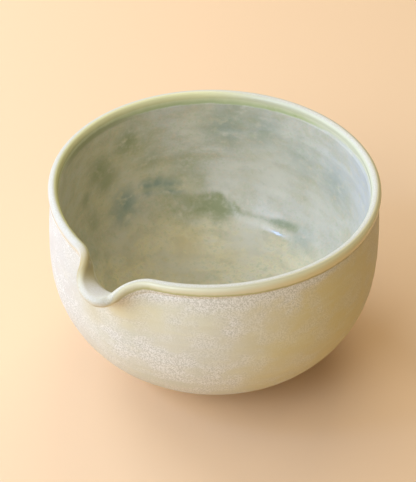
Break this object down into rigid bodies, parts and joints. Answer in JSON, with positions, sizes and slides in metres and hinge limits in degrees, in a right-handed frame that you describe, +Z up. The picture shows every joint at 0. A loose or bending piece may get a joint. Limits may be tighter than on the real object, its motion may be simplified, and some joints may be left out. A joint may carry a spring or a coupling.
{
  "type": "tea bowl",
  "caption": "Round-bellied thrown stoneware tea bowl with a small pulled pouring lip, a rounded glazed rim and a low turned foot ring.",
  "frame": {"origin": "middle of the bowl's footprint, at the height of the table that the foot ring stands on", "axes": "+Z up along the bowl's own axis, the pouring lip points along -Y, +X to the right when the pouring lip faces the viewer"},
  "size_m": [0.122, 0.133, 0.078],
  "materials": {
    "stoneware": "matte",
    "outer_glaze": "matte",
    "inner_glaze": "satin",
    "rim_glaze": "gloss"
  },
  "bodies": {
    "root": {"clay_body": "stoneware", "foot_ring": "stoneware", "outer_glaze": "outer_glaze", "inner_glaze": "inner_glaze", "rim_glaze": "rim_glaze"}
  },
  "joints": []
}
